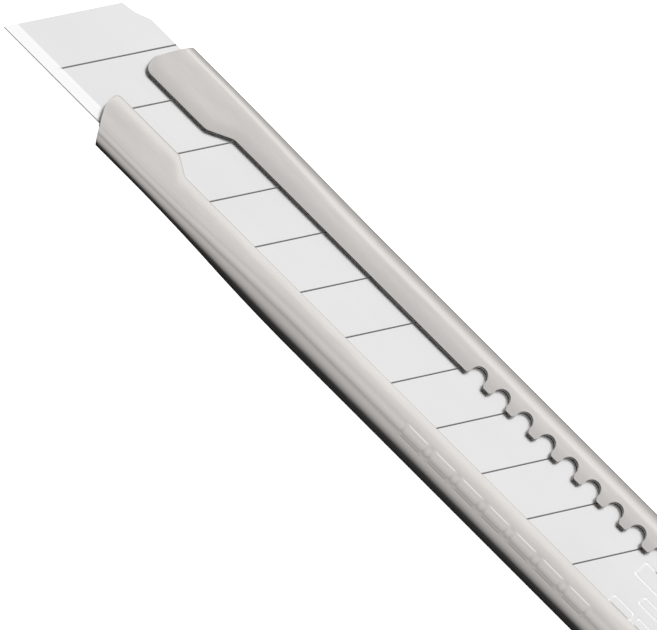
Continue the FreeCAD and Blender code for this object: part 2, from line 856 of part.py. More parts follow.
def clipOutline():
    """Keeps the end plate wide, narrows the clip above and the tongue below, and cuts the notch."""
    body = newBody("clip_outline")
    shoulder = "{tail_x} + {end_overlap}"
    tongue = newSketch(body, "tongue_plan", "XY_Plane")
    drawBox(
        tongue, shoulder, behindNose("{tongue_tip} - 2"), "-{tongue_half}", "{tongue_half}"
    )
    addPad(body, tongue, "{handle_deep}")
    end = newSketch(body, "end_plan", "XY_Plane")
    drawBox(end, "{tail_x} - 3", f"{{tail_x}} - {{clip_gap}}", "-{end_half}", "{end_half}")
    addPad(body, end, "{handle_deep}")
    neck = newSketch(body, "tongue_neck", "XY_Plane")
    drawBox(neck, "{tail_x} - 1", f"{shoulder} + 1", "-{tongue_half}", "{tongue_half}")
    addPad(body, neck, "{handle_deep}")
    clip = newSketch(body, "clip_plan", "XY_Plane", "{handle_deep}")
    drawBox(clip, "{tail_x} - 3", behindNose("{clip_tip} - 2"), "-{clip_half}", "{clip_half}")
    addPad(body, clip, "{clip_high} - {handle_deep} + 2")
    notch = newSketch(body, "snap_notch", "XZ_Plane", "-{end_half} - 1")
    drawBox(notch, "{tail_x} - 4", "{tail_x} + 0.3", "{snap_low}", "{snap_low} + {snap_gap}")
    addPocket(body, notch, "1 + {snap_wide}", upward=True)
    return body


def makeAll():
    parts = [makeHandleChannel()]
    parts += [makeBladeSegment(number) for number in range(1, dimensions["segment_count"] + 1)]
    parts += [makeBladeTang(), makeBladeCarrier(), makeBladeStud(), makeLockSpring()]
    floor = "({blade_low} - {carrier_drop})"
    parts.append(
        makeRivetGroup(
            "spring_rivets",
            springRivetPlaces(),
            f"({floor} - {{sheet}})",
            f"({floor} + {{spring_thick}})",
            headed=True,
        )
    )
    parts += [makeLockPlate(), makeSliderNeck(), makeThumbSlider()]
    neckRivets = neckRivetPlaces()
    parts.append(
        makeRivetGroup("slider_rivets", neckRivets, "{plate_low}", "{pad_ceiling}", headed=False)
    )
    parts.append(makeClipSnapper())
    return parts


parts = makeAll()
document.recompute()
for item in document.Objects:
    if "Invalid" in item.State or "Error" in item.State:
        raise RuntimeError(f"{item.Name} failed: {item.State}")
os.makedirs("parts", exist_ok=True)
for part in parts:
    shape = part.Shape
    if shape.isNull() or not shape.isValid():
        raise RuntimeError(f"{part.Label} has no valid shape")
    shape.exportStep(f"parts/{part.Label}.step")
    box = shape.BoundBox
    print(
        f"{part.Label:20s} solids {len(shape.Solids)}  volume {shape.Volume:9.3f}  "
        f"x {box.XMin:7.2f} {box.XMax:7.2f}  y {box.YMin:6.2f} {box.YMax:6.2f}  "
        f"z {box.ZMin:5.2f} {box.ZMax:5.2f}"
    )
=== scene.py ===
import math
import bpy
import numpy as np
from mathutils import Matrix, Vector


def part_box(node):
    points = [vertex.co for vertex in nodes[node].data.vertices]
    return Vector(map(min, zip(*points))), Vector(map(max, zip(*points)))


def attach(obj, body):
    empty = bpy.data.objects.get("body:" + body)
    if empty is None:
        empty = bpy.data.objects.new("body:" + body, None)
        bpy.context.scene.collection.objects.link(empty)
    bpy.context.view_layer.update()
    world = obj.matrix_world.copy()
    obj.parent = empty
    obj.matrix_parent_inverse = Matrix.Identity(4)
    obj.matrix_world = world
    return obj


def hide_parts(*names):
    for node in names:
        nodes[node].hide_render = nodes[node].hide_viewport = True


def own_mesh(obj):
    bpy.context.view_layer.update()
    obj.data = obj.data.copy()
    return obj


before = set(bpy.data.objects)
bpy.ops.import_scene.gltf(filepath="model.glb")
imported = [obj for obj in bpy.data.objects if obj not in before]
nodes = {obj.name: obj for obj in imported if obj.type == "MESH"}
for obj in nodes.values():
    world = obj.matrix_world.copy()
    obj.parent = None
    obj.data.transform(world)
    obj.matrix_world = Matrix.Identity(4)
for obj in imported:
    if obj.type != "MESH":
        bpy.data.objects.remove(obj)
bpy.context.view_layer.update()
mm = 0.001
print("stage: frame loaded,", len(nodes), "nodes")

handleLow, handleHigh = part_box("handle_channel")
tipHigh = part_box("blade_segment_01")[1]
padLow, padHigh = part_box("thumb_slider")
noseX, tailX = handleHigh.x / mm, handleLow.x / mm
tipX, bladeTop = tipHigh.x / mm, tipHigh.z / mm


def gridFaces(rows, columns, closedColumns=False):
    # quads between neighbouring points of a rows x columns grid, as index arrays
    across = columns if closedColumns else columns - 1
    r, c = np.meshgrid(np.arange(rows - 1), np.arange(across), indexing="ij")
    cNext = (c + 1) % columns
    corners = [r * columns + c, (r + 1) * columns + c, (r + 1) * columns + cNext, r * columns + cNext]
    return np.stack(corners, -1).reshape(-1, 4)


def sheetFaces(rows, columns):
    # two equal grids, one after the other, as the faces of a sheet, joined along its four edges
    count = rows * columns
    outer = gridFaces(rows, columns)
    index = np.arange(count).reshape(rows, columns)
    strips = []
    for edge in (index[0], index[:, -1], index[-1, ::-1], index[::-1, 0]):
        a, b = edge[:-1], edge[1:]
        strips.append(np.stack([a, b, b + count, a + count], -1))
    return np.concatenate([outer, outer[:, ::-1] + count, *strips])


def meshPiece(name, points, faces):
    # points in millimetres, a piece that sits at the origin with its place in its mesh
    points = np.asarray(points, float)
    corner = points[faces]
    normal = np.cross(corner[:, 2] - corner[:, 0], corner[:, 3] - corner[:, 1])
    if (corner.mean(1) * normal).sum() < 0:  # six times the volume, negative when inside out
        faces = faces[:, ::-1]
    mesh = bpy.data.meshes.new(name)
    mesh.vertices.add(len(points))
    mesh.vertices.foreach_set("co", (points * mm).ravel())
    mesh.loops.add(faces.size)
    mesh.loops.foreach_set("vertex_index", faces.ravel().astype(np.int32))
    mesh.polygons.add(len(faces))
    mesh.polygons.foreach_set("loop_start", np.arange(0, faces.size, 4, dtype=np.int32))
    mesh.update(calc_edges=True)
    piece = bpy.data.objects.new(name, mesh)
    bpy.context.scene.collection.objects.link(piece)
    return piece


def addModifier(piece, kind, **values):
    modifier = piece.modifiers.new(kind.lower(), kind)
    for key, value in values.items():
        setattr(modifier, key, value)
    return modifier


def settle(piece):
    # bakes the modifiers into the mesh, so that the piece is plain geometry
    bpy.context.view_layer.update()
    found = piece.evaluated_get(bpy.context.evaluated_depsgraph_get())
    mesh = bpy.data.meshes.new_from_object(found)
    old = piece.data
    piece.modifiers.clear()
    piece.data = mesh
    mesh.name = old.name
    mesh.polygons.foreach_set("use_smooth", np.ones(len(mesh.polygons), bool))
    bpy.data.meshes.remove(old)


edgeBreak = {"segments": 2, "fromAngle": 40, "flatness": 100}


def breakEdges(piece, width):
    # rounds the cut edges a little and keeps the flats flat
    k = edgeBreak
    angle = math.radians(k["fromAngle"])
    addModifier(
        piece, "BEVEL", width=width * mm, segments=k["segments"], limit_method="ANGLE", angle_limit=angle,
    )
    addModifier(piece, "WEIGHTED_NORMAL", weight=k["flatness"])
    settle(piece)


def softRamp(t, ease=0.08):
    # 0 before 0, 1 after 1, straight between with rounded corners: the difference of two hyperbolas
    return (np.sqrt(t**2 + ease**2) - np.sqrt((t - 1) ** 2 + ease**2) + 1) / 2


def smooth(t):
    t = np.clip(t, 0, 1)
    return t * t * (3 - 2 * t)


def roundedPath(corners, step):
    # corners are (x, z, radius): straight runs joined by tangent arcs, sampled about every step
    pts = np.array([c[:2] for c in corners], float)
    out = [pts[:1]]
    for i in range(1, len(pts) - 1):
        back, ahead = pts[i - 1] - pts[i], pts[i + 1] - pts[i]
        back, ahead = back / np.linalg.norm(back), ahead / np.linalg.norm(ahead)
        half = math.acos(np.clip(back @ ahead, -1, 1)) / 2
        radius = corners[i][2]
        reach = radius / math.tan(half)
        bisector = (back + ahead) / np.linalg.norm(back + ahead)
        centre = pts[i] + bisector * radius / math.sin(half)
        a, b = pts[i] + back * reach - centre, pts[i] + ahead * reach - centre
        turn = math.atan2(a[0] * b[1] - a[1] * b[0], a @ b)
        t = np.linspace(0, turn, 9)  # eight steps round each bend
        arc = np.stack([a[0] * np.cos(t) - a[1] * np.sin(t), a[0] * np.sin(t) + a[1] * np.cos(t)], -1)
        out.append(arc + centre)
    out.append(pts[-1:])
    line = np.concatenate(out)
    length = np.concatenate([[0], np.cumsum(np.linalg.norm(np.diff(line, axis=0), axis=1))])
    fill = []
    for a, b in zip(length[:-1], length[1:]):
        if b - a > 1e-6:
            fill.append(np.linspace(a, b, max(2, int((b - a) / step) + 1))[:-1])
    s = np.concatenate(fill + [[length[-1]]])
    return np.stack([np.interp(s, length, line[:, 0]), np.interp(s, length, line[:, 1])], -1), s


handleShape = {
    "sheet": 0.5, "wide": 11.05, "deep": 4.8,
    "backRound": 1.6, "lipRound": 1.55, "lipRoundNose": 0.9, "lipTall": 1.4,
    "rise": 1.7, "riseRun": 19.0, "riseFromNose": 5.0,
    "slotLeft": -2.34, "slotRight": 2.72, "mouthLeft": -1.26, "mouthRight": 1.76,
    "stepLeft": (6.9, 9.0), "stepRight": (6.9, 8.4),
    "lugRoundLeft": 0.8, "lugRoundRight": 0.5,
    "slant": 0.54, "flatLeft": 2.5, "flatRight": 3.1, "slantZone": 6.0,
    "notchFirst": 35.55, "notchPitch": 2.5, "notchCount": 26,
    "notchRadius": 0.75, "notchIn": 0.45, "notchMouth": 0.88, "notchFlare": 13.5, "toothRound": 0.1,
    "stepEaseLeft": 0.08, "stepEaseRight": 0.03, "slantEase": 1.5,
    "rimDepth": 0.05, "rollWide": 1.0, "rollDeep": (0.12, 0.08), "edgeRound": 0.05, "rake": 0.2,
    "bendThins": 0.2,
    "tailRows": 30, "noseRows": 10, "evenOut": 0.45, "notchSteps": 12, "lipSteps": 12, "backSteps": 10,
    "frontRows": ((24.5, 10), (10.0, 26), (6.0, 30), (0.8, 18)),  # distance behind the nose, rows up to it
    "lipColumns": (0, 0.06, 0.13, 0.22, 0.34, 0.5, 0.67, 0.83), "lipEvenOut": 1.3,
}


def notchOutline(k):
    # one pitch of the lock row, centred on 0: tooth flats, flared flanks and the round bottom
    y0, r, m, t = k["slotLeft"], k["notchRadius"], k["notchMouth"], k["toothRound"]
    flare = math.radians(k["notchFlare"])
    angle = np.linspace(math.pi - flare, 2 * math.pi + flare, k["notchSteps"] + 1)
    arc = np.stack([r * np.cos(angle), y0 - k["notchIn"] + r * np.sin(angle)], -1)
    tooth = np.array([
        [-k["notchPitch"] / 2, y0],
        [-m - t, y0],
        [-m - 0.2 * t, y0 - 0.3 * t],
        [-m + 0.3 * t, y0 - t],
    ])
    mirrored = (tooth * [-1, 1])[::-1][:-1]
    return np.concatenate([tooth, arc, mirrored])


def handleRows(k):
    # X of each row, and the slot edge points on both lips from the tail to the nose; on the notched
    # lip the rows follow the notches at the edge and lie more evenly behind it
    outline = notchOutline(k)
    share = np.linspace(-k["notchPitch"] / 2, k["notchPitch"] / 2, len(outline) + 1)[:-1]
    firstX = noseX - k["notchFirst"]
    centres = firstX - k["notchPitch"] * np.arange(k["notchCount"])[::-1]
    notchX = (centres[:, None] + outline[None, :, 0]).ravel()
    notchY = np.tile(outline[:, 1], k["notchCount"])
    even = k["evenOut"]
    rowX = (centres[:, None] + (1 - even) * outline[None, :, 0] + even * share[None, :]).ravel()
    low, high = centres[0] - k["notchPitch"] / 2, centres[-1] + k["notchPitch"] / 2
    tailRows = np.linspace(tailX, low, k["tailRows"])[:-1]
    frontRows, start = [], high
    for back, count in k["frontRows"]:
        frontRows.append(np.linspace(start, noseX - back, count)[:-1])
        start = noseX - back
    frontRows.append(start + (noseX - start) * np.sin(np.linspace(0, math.pi / 2, k["noseRows"])))
    x = np.concatenate([tailRows, rowX, *frontRows])
    leftX = np.concatenate([tailRows, notchX, *frontRows])

    def lipEdge(main, mouth, step, rounding, side, ease):
        back = noseX - x
        ramp = softRamp((step[1] - back) / (step[1] - step[0]), ease)
        y = main + (mouth - main) * ramp
        inArc = np.clip(x - (noseX - rounding), 0, rounding)
        return y + side * (rounding - np.sqrt(rounding**2 - inArc**2))

    left, right = (k["slotLeft"], k["mouthLeft"]), (k["slotRight"], k["mouthRight"])
    straight = lipEdge(*left, k["stepLeft"], k["lugRoundLeft"], -1, k["stepEaseLeft"])
    inNotches = slice(len(tailRows), len(tailRows) + len(notchY))
    left = straight.copy()
    left[inNotches] = notchY
    right = lipEdge(*right, k["stepRight"], k["lugRoundRight"], 1, k["stepEaseRight"])
    return x, leftX, left, straight, right


def makeHandle():
    # A folded section carried along X. Each section runs from one slot edge over the lip, round a
    # quarter ellipse, down the wall, round the back's quarter circle and over the back to the other
    # slot edge. The back's height is two tangent arcs towards the nose, and the lip's radius eases down.
    k = handleShape
    x, leftX, left, straight, right = handleRows(k)
    half, deep = k["wide"] / 2, k["deep"]
    riseEnd = noseX - k["riseFromNose"]
    t = np.clip((x - (riseEnd - k["riseRun"])) / k["riseRun"], 0, 1)
    radius = (k["riseRun"] ** 2 + k["rise"] ** 2) / (4 * k["rise"])
    d1, d2 = t * k["riseRun"], (1 - t) * k["riseRun"]
    floor = np.where(
        t < 0.5,
        radius - np.sqrt(radius**2 - np.minimum(d1, radius) ** 2),
        k["rise"] - radius + np.sqrt(radius**2 - np.minimum(d2, radius) ** 2),
    )
    lip = k["lipRound"] + (k["lipRoundNose"] - k["lipRound"]) * smooth(t)
    back = k["backRound"]

    def halfSection(edge, edgeX, main, sign, tall):
        # columns from the slot edge to the middle of the back: X, Y, Z and the way the face looks in Y and Z
        columns = []
        corner = half - lip
        roll = k["rollDeep"][sign > 0]
        for f in k["lipColumns"]:
            ease = smooth(np.array(f * k["lipEvenOut"]))
            y = edge * (1 - f) + sign * corner * f
            away = np.clip(1 - sign * (y - main) / k["rollWide"], 0, 1)
            # the shear pulls the slot edge down a little: a parabola over the last part of the lip
            z = deep - roll * away**2
            tilt = -sign * 2 * roll / k["rollWide"] * away
            columns.append((edgeX * (1 - ease) + x * ease, y, z, tilt, 1))
        for a in np.linspace(0, math.pi / 2, k["lipSteps"] + 1)[:-1]:
            y, z = sign * (corner + lip * math.sin(a)), deep - tall + tall * math.cos(a)
            across, up = math.sin(a) * tall, math.cos(a) * lip
            # the sheet thins in the bend, most at its middle
            thin = (1 - k["bendThins"] * math.sin(2 * a)) / np.hypot(across, up)
            columns.append((x, y, z, sign * across * thin, up * thin))
        for f in (0, 0.5):
            columns.append((x, sign * half, (deep - tall) * (1 - f) + (floor + back) * f, sign, 0))
        for a in np.linspace(0, math.pi / 2, k["backSteps"] + 1)[:-1]:
            y, z = sign * (half - back + back * math.cos(a)), floor + back - back * math.sin(a)
            columns.append((x, y, z, sign * math.cos(a), -math.sin(a)))
        for f in (0, 0.33, 0.66):
            columns.append((x, sign * (half - back) * (1 - f), floor, 0, -1))
        return columns

    columns = halfSection(left, leftX, straight, -1, lip) + [(x, 0, floor, 0, -1)]
    columns += halfSection(right, x, right, 1, lip * k["lipTall"])[::-1]
    columns = [[np.broadcast_to(value, x.shape) for value in column] for column in columns]
    gridX, gridY, gridZ, faceY, faceZ = (np.stack(values, 1) for values in zip(*columns))
    flat = np.where(gridY < 0, k["flatLeft"], k["flatRight"])
    ease = np.clip((gridX - (noseX - k["slantZone"])) / k["slantZone"], 0, 1) ** k["slantEase"]
    # the nose end slants back beside its flat, and rakes back from the lips to the back
    slanted = k["slant"] * np.clip(np.abs(gridY) - flat, 0, None)
    gridX = gridX - (slanted + k["rake"] * (deep - gridZ)) * ease
    outer = np.stack([gridX, gridY, gridZ], -1)
    inner = np.stack([gridX, gridY - k["sheet"] * faceY, gridZ - k["sheet"] * faceZ], -1)
    points = np.concatenate([outer.reshape(-1, 3), inner.reshape(-1, 3)])
    piece = meshPiece("handle_sheet", points, sheetFaces(*gridX.shape))
    # 0 on the outer face and 1 on the inner face, so that the cut edge lies between and the material can
    # paint shade on it; the outer rim is just above 0, so the painted shade reaches it a little
    value = np.zeros((2, *gridX.shape))
    value[0, :, [0, -1]] = value[0, -1, :] = k["rimDepth"]
    value[1] = 1
    depth = piece.data.attributes.new("depth", "FLOAT", "POINT")
    depth.data.foreach_set("value", value.ravel())
    breakEdges(piece, k["edgeRound"])
    return piece


handle = makeHandle()
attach(handle, "handle")
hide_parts("handle_channel")
print("stage: handle,", len(handle.data.polygons), "faces")


clipShape = {
    "thick": 0.6, "gap": 0.05, "high": 6.05, "sheet": handleShape["sheet"], "deep": handleShape["deep"],
    "tongueTip": 116.6, "clipTip": 102.0,
    "tongueHalf": 4.0, "endHalf": 5.3, "clipHalf": 3.2,
    "tipRound": 1.4, "shoulder": 1.1, "edgeRound": 0.1,
    "notchLow": 3.0, "notchGap": 0.85, "notchWide": 9.4, "notchDeep": 0.35, "cutPast": 3.0,
    "tongueDrop": 0.7, "tongueLip": 2.4, "tongueBend": 1.6, "tongueRamp": 7.6, "rampBend": 3.0,
    "endBend": 0.5, "clipRamp": 5.0, "clipBend": 5.0, "clipTouch": 0.2, "clipLip": 1.9, "lipBend": 1.6,
    "clipLift": 0.35, "widenFrom": 0.7, "widenOver": 0.5, "narrowBelow": 0.1, "nearTail": 0.05,
    "step": 0.5, "columns": 9,
}


def cutBox(piece, low, high):
    # gives the piece a modifier that cuts a box out of it; the box goes once that is baked
    x, y, z = np.meshgrid(*zip(low, high), indexing="ij")
    corners = np.stack([x.ravel(), y.ravel(), z.ravel()], -1)
    faces = np.array([[0, 1, 3, 2], [4, 6, 7, 5], [0, 4, 5, 1], [2, 3, 7, 6], [0, 2, 6, 4], [1, 5, 7, 3]])
    cutter = meshPiece("cutter", corners, faces)
    modifier = piece.modifiers.new("notch", "BOOLEAN")
    modifier.object, modifier.operation, modifier.solver = cutter, "DIFFERENCE", "EXACT"
    return cutter


def bentStrip(name, path, halfWide, thickness, columns, middleY=0):
    # a strip bent along a path in the XZ plane: each row is a straight line across Y, and the
    # second face lies the thickness away, square to the path
    along = np.gradient(path, axis=0)
    along /= np.linalg.norm(along, axis=1, keepdims=True)
    away = np.stack([-along[:, 1], along[:, 0]], -1) * thickness
    u = np.linspace(-1, 1, columns)
    faces = []
    for line in (path, path + away):
        points = np.empty((len(path), columns, 3))
        points[:, :, 0], points[:, :, 2] = line[:, :1], line[:, 1:]
        points[:, :, 1] = middleY + halfWide[:, None] * u[None, :]
        faces.append(points.reshape(-1, 3))
    return meshPiece(name, np.concatenate(faces), sheetFaces(len(path), columns))


def makeClip():
    k = clipShape
    floor = k["sheet"] + k["gap"] + k["thick"]
    under = k["deep"] - k["sheet"] - k["gap"]
    tail = tailX - k["gap"]
    corners = [
        (noseX - k["tongueTip"], under - k["tongueDrop"], 0),
        (noseX - k["tongueTip"] - k["tongueLip"], under, k["tongueBend"]),
        (noseX - k["tongueTip"] - k["tongueRamp"], floor, k["rampBend"]),
        (tail, floor, k["endBend"]),
        (tail, k["high"], k["endBend"]),
        (noseX - k["clipTip"] - k["clipRamp"], k["high"], k["clipBend"]),
        (noseX - k["clipTip"] - k["clipLip"], k["deep"] + k["clipTouch"], k["lipBend"]),
        (noseX - k["clipTip"], k["high"] - k["clipLift"], 0),
    ]
    path, s = roundedPath(corners, k["step"])
    # wide at the end plate only: it starts just before the tail and stops at the height of the lips
    tailStart = s[np.argmax(path[:, 0] < tail + k["widenFrom"])]
    atLips = (path[:, 1] > k["deep"] - k["narrowBelow"]) & (path[:, 0] < tail + k["nearTail"])
    upper = s[np.argmax(atLips)]
    widening = softRamp((s - tailStart) / k["widenOver"])
    wide = k["tongueHalf"] + (k["endHalf"] - k["tongueHalf"]) * widening
    wide = wide + (k["clipHalf"] - k["endHalf"]) * softRamp((s - upper) / k["shoulder"])

    def roundEnd(distance, radius):
        inside = np.clip(radius - distance, 0, radius)
        return radius - np.sqrt(radius**2 - inside**2)

    wide = wide - roundEnd(s, k["tipRound"]) - roundEnd(s[-1] - s, k["tipRound"])
    piece = bentStrip("clip_strip", path, wide, k["thick"], k["columns"])
    low = (tail - k["cutPast"], k["endHalf"] - k["notchWide"], k["notchLow"])
    high = (tail + k["notchDeep"], k["endHalf"] + k["cutPast"], k["notchLow"] + k["notchGap"])
    cutter = cutBox(piece, low, high)
    breakEdges(piece, k["edgeRound"])
    bpy.data.objects.remove(cutter)
    return piece


clip = makeClip()
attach(clip, "clip")
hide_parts("clip_snapper")

springShape = {
    "thick": 0.25, "low": 1.25, "middleY": 0.25, "half": 2.2,
    "foot": 99.2, "back": 95.5, "front": 83.0, "bow": 2.1, "keep": 0.57,
    "footRows": 8, "bowRows": 41, "columns": 7, "edgeRound": 0.05,
}


def makeSpring():
    # a flat foot, then a circular bow of the given height between the foot and the free end
    k = springShape
    chord = (k["back"] - k["front"]) / 2
    radius = (chord**2 + k["bow"] ** 2) / (2 * k["bow"])
    reach = math.asin(chord / radius)
    a = np.linspace(-reach, reach, k["bowRows"])
    middle = tipX - (k["back"] + k["front"]) / 2
    bowX, bowZ = middle + radius * np.sin(a), k["low"] + k["bow"] - radius + radius * np.cos(a)
    footX = np.linspace(tipX - k["foot"], tipX - k["back"], k["footRows"])[:-1]
    footZ = np.full(len(footX), k["low"])
    path = np.stack([np.concatenate([footX, bowX]), np.concatenate([footZ, bowZ])], -1)
    wide = np.full(len(path), k["half"])
    piece = bentStrip("spring_leaf", path, wide, k["thick"], k["columns"], k["middleY"])
    breakEdges(piece, k["edgeRound"])
    return piece


spring = makeSpring()
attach(spring, "carriage")
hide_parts("lock_spring")
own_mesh(spring)
print("stage: clip and spring")


sliderShape = {
    "corner": 2.6, "shoulder": 0.8, "wall": 0.8, "ceiling": 7.1, "footRound": 0.15,
    "ribPitch": 2.3, "ribHigh": 0.42, "ribFade": 1.5, "ribRim": 0.5, "ribSharp": 0.7, "dish": 0.12,
    "around": 220, "across": 26, "cornerRows": 40, "skirtRings": 4, "footRings": 7, "weld": 0.01, "sharp": 50,
}


def roundedRectangle(a, b, radius, count):
    # points evenly spread by length round a rectangle with quarter-circle corners, and the
    # outward direction of each
    turns = np.linspace(0, math.pi / 2, sliderShape["cornerRows"])
    points, facing = [], []
    for quarter, (cx, cy) in enumerate([(a, b), (-a, b), (-a, -b), (a, -b)]):
        cx, cy = cx - math.copysign(radius, cx), cy - math.copysign(radius, cy)
        angle = turns + quarter * math.pi / 2
        facing.append(np.stack([np.cos(angle), np.sin(angle)], -1))
        points.append(np.array([cx, cy]) + radius * facing[-1])
    # the first point again at the end, to close the loop
    points = np.concatenate([*points, points[0][:1]])
    facing = np.concatenate([*facing, facing[0][:1]])
    length = np.concatenate([[0], np.cumsum(np.linalg.norm(np.diff(points, axis=0), axis=1))])
    spots = np.linspace(0, length[-1], count + 1)[:-1]
    return [np.interp(spots, length, v) for v in (*points.T, *facing.T)]


def makeThumbSlider():
    # Rings round a central line: a point goes from that line out to the rounded rectangle, over the
    # shoulder, down the skirt, and back under the wall to the ceiling. The top carries a row of
    # cosine ribs that fade out towards the rim, and a shallow dish along the middle.
    k = sliderShape
    a, b = (padHigh.x - padLow.x) / 2 / mm, (padHigh.y - padLow.y) / 2 / mm
    centreX, low, top = (padHigh.x + padLow.x) / 2 / mm, padLow.z / mm, padHigh.z / mm
    ox, oy, nx, ny = roundedRectangle(a, b, k["corner"], k["around"])
    lineX = np.clip(ox, -(a - b), a - b)

    def ring(inset, z):
        return np.stack([ox - nx * inset, oy - ny * inset, np.broadcast_to(z, ox.shape)], -1)

    rings = []
    for r in np.sin(np.linspace(0, math.pi / 2, k["across"])):
        x = lineX + (ox - lineX) * r
        y = oy * r
        rim = (1 - r) * np.hypot(ox - lineX, oy)
        drop = np.clip(k["shoulder"] - rim, 0, k["shoulder"])
        drop = k["shoulder"] - np.sqrt(k["shoulder"] ** 2 - drop**2)
        fade = smooth((rim - k["ribRim"]) / k["ribFade"])
        wave = (0.5 + 0.5 * np.cos(2 * math.pi * x / k["ribPitch"])) ** k["ribSharp"]
        dish = k["dish"] * np.cos(math.pi * y / 2 / b) * fade
        z = top - drop - (1 - wave) * k["ribHigh"] * fade - dish
        rings.append(np.stack([x, y, z], -1))
    for z in np.linspace(top - k["shoulder"], low + k["footRound"], k["skirtRings"])[1:]:
        rings.append(ring(0, z))
    for t in np.linspace(0, math.pi, k["footRings"])[1:]:
        inset = (1 - math.cos(t)) * k["wall"] / 2
        rings.append(ring(inset, low + k["footRound"] * (1 - math.sin(t))))
    rings.append(ring(k["wall"], k["ceiling"]))
    ceiling = np.stack([lineX, np.zeros_like(ox), np.full_like(ox, k["ceiling"])], -1)
    rings += [rings[-1] * 0.5 + ceiling * 0.5, ceiling]
    points = np.stack(rings)
    points[:, :, 0] += centreX
    faces = gridFaces(len(rings), k["around"], closedColumns=True)
    piece = meshPiece("slider_pad", points.reshape(-1, 3), faces)
    addModifier(piece, "WELD", merge_threshold=k["weld"] * mm)
    settle(piece)
    piece.data.set_sharp_from_angle(angle=math.radians(k["sharp"]))
    return piece


slider = makeThumbSlider()
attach(slider, "slider")
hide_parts("thumb_slider")
print("stage: thumb slider")


def newGroup(name, inputs, outputs):
    group = bpy.data.node_groups.new(name, "ShaderNodeTree")
    for label, kind in inputs:
        group.interface.new_socket(label, in_out="INPUT", socket_type=kind)
    for label, kind in outputs:
        group.interface.new_socket(label, in_out="OUTPUT", socket_type=kind)
    return group, group.nodes.new("NodeGroupInput"), group.nodes.new("NodeGroupOutput")


def addMath(tree, operation, a, b=None, c=None, clamp=False):
    node = tree.nodes.new("ShaderNodeMath")
    node.operation, node.use_clamp = operation, clamp
    for socket, value in zip(node.inputs, (a, b, c)):
        if value is None:
            continue
        if isinstance(value, (int, float)):
            socket.default_value = value
        else:
            tree.links.new(value, socket)
    return node.outputs[0]


def addNoise(tree, vector, detail, roughness=0.55):
    node = tree.nodes.new("ShaderNodeTexNoise")
    node.inputs["Scale"].default_value = 1
    node.inputs["Detail"].default_value = detail
    node.inputs["Roughness"].default_value = roughness
    tree.links.new(vector, node.inputs["Vector"])
    return node.outputs["Fac"]


def addStretch(tree, vector, along, across, turn=0):
    node = tree.nodes.new("ShaderNodeMapping")
    node.inputs["Rotation"].default_value = (0, 0, math.radians(turn))
    node.inputs["Scale"].default_value = (along, across, across)
    tree.links.new(vector, node.inputs["Vector"])
    return node.outputs[0]


# how often each pattern repeats per metre, along X and across it
grainSizes = {
    "lines": (90, 4200), "grain": (6500, 6500), "cloud": (110, 230),
    "scratch": (38, 1900), "scratchTurn": 7, "scratchFrom": (0.70, 0.78),
}


def makeGrainGroup():
    # fine lines along X over a tumbled grain, broad clouds, and a few long hairline scratches
    k = grainSizes
    group, given, result = newGroup(
        "steelGrain",
        [("Vector", "NodeSocketVector"), ("Lines", "NodeSocketFloat"), ("Grain", "NodeSocketFloat")],
        [("Height", "NodeSocketFloat"), ("Cloud", "NodeSocketFloat"), ("Scratch", "NodeSocketFloat")],
    )
    vector = given.outputs["Vector"]
    lines = addNoise(group, addStretch(group, vector, *k["lines"]), 4)
    grain = addNoise(group, addStretch(group, vector, *k["grain"]), 3)
    cloud = addNoise(group, addStretch(group, vector, *k["cloud"]), 3, 0.5)
    scratch = addNoise(group, addStretch(group, vector, *k["scratch"], k["scratchTurn"]), 1)
    scratch = mapRange(group, scratch, *k["scratchFrom"], 0, 1)
    height = addMath(
        group, "ADD", addMath(group, "MULTIPLY", lines, given.outputs["Lines"]),
        addMath(group, "MULTIPLY", grain, given.outputs["Grain"]),
    )
    group.links.new(height, result.inputs["Height"])
    group.links.new(cloud, result.inputs["Cloud"])
    group.links.new(scratch, result.inputs["Scratch"])
    return group


rowLabels = ("First", "Pitch", "Count", "Long", "Tall", "Line")


def makeOutlineGroup():
    # the outline of a row of flat dashes: 1 on the line, 0 elsewhere; all lengths in millimetres
    group, given, result = newGroup(
        "outlineDashes",
        [(label, "NodeSocketFloat") for label in ("Along", "Across", *rowLabels)],
        [("Mask", "NodeSocketFloat")],
    )
    take = given.outputs
    start = addMath(group, "SUBTRACT", take["Along"], take["First"])
    number = addMath(group, "FLOOR", addMath(group, "DIVIDE", start, take["Pitch"]))
    within = addMath(group, "SUBTRACT", start, addMath(group, "MULTIPLY", number, take["Pitch"]))
    u = addMath(group, "SUBTRACT", within, addMath(group, "MULTIPLY", take["Pitch"], 0.5))
    halfLong = addMath(group, "MULTIPLY", take["Long"], 0.5)
    halfTall = addMath(group, "MULTIPLY", take["Tall"], 0.5)
    du = addMath(group, "SUBTRACT", addMath(group, "ABSOLUTE", u), halfLong)
    dv = addMath(group, "SUBTRACT", addMath(group, "ABSOLUTE", take["Across"]), halfTall)
    edge = addMath(group, "ABSOLUTE", addMath(group, "SMOOTH_MAX", du, dv, 0.25))
    line = addMath(group, "SUBTRACT", 1.0, addMath(group, "DIVIDE", edge, take["Line"]), clamp=True)
    started = addMath(group, "GREATER_THAN", number, -0.5)
    inRow = addMath(group, "MULTIPLY", started, addMath(group, "LESS_THAN", number, take["Count"]))
    group.links.new(addMath(group, "MULTIPLY", line, inRow), result.inputs["Mask"])
    return group


def newMaterial(name):
    material = bpy.data.materials.new(name)
    material.use_nodes = True
    tree = material.node_tree
    tree.nodes.clear()
    out = tree.nodes.new("ShaderNodeOutputMaterial")
    shader = tree.nodes.new("ShaderNodeBsdfPrincipled")
    tree.links.new(shader.outputs[0], out.inputs["Surface"])
    coordinates = tree.nodes.new("ShaderNodeTexCoord").outputs["Object"]
    return material, tree, shader, coordinates


